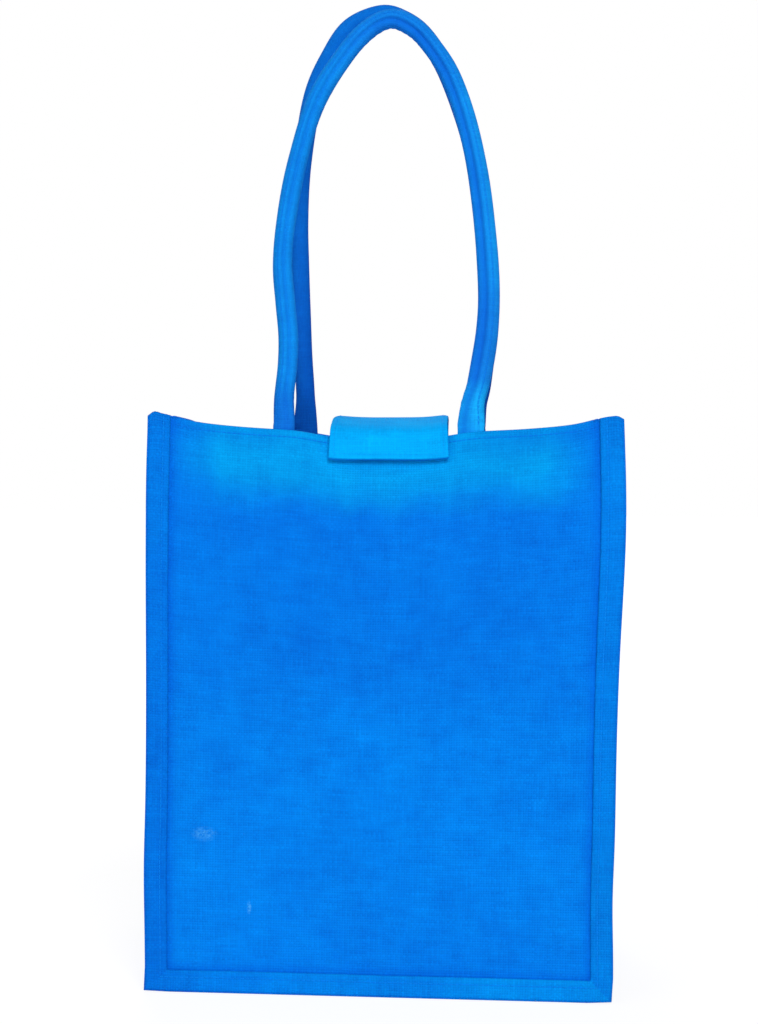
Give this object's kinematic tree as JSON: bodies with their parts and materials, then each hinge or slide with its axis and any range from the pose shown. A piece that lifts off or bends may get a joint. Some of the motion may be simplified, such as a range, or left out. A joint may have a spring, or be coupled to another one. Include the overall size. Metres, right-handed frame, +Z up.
{
  "type": "tote bag",
  "caption": "Upright woven jute tote bag with a boxed gusset, bound edges, a closure tab over the mouth and long padded handles.",
  "frame": {"origin": "middle of the footprint on the floor that the bag stands on", "axes": "+X to the right seen from the front, +Y to the back, +Z up"},
  "size_m": [0.3335, 0.1556, 0.7148],
  "materials": {
    "jute_cloth": "coarse plain weave, matt",
    "binding_cloth": "coarse plain weave, matt",
    "tab_cloth": "coarse plain weave, matt",
    "handle_cloth": "close plain weave, matt",
    "fastener_tape": "hook and loop pile"
  },
  "bodies": {
    "root": {"front_panel": "jute_cloth", "back_panel": "jute_cloth", "gusset": "jute_cloth", "front_binding": "binding_cloth", "back_binding": "binding_cloth", "closure_tab": "tab_cloth", "hook_patch": "fastener_tape", "loop_patch": "fastener_tape", "front_handle": "handle_cloth", "back_handle": "handle_cloth"}
  },
  "joints": []
}
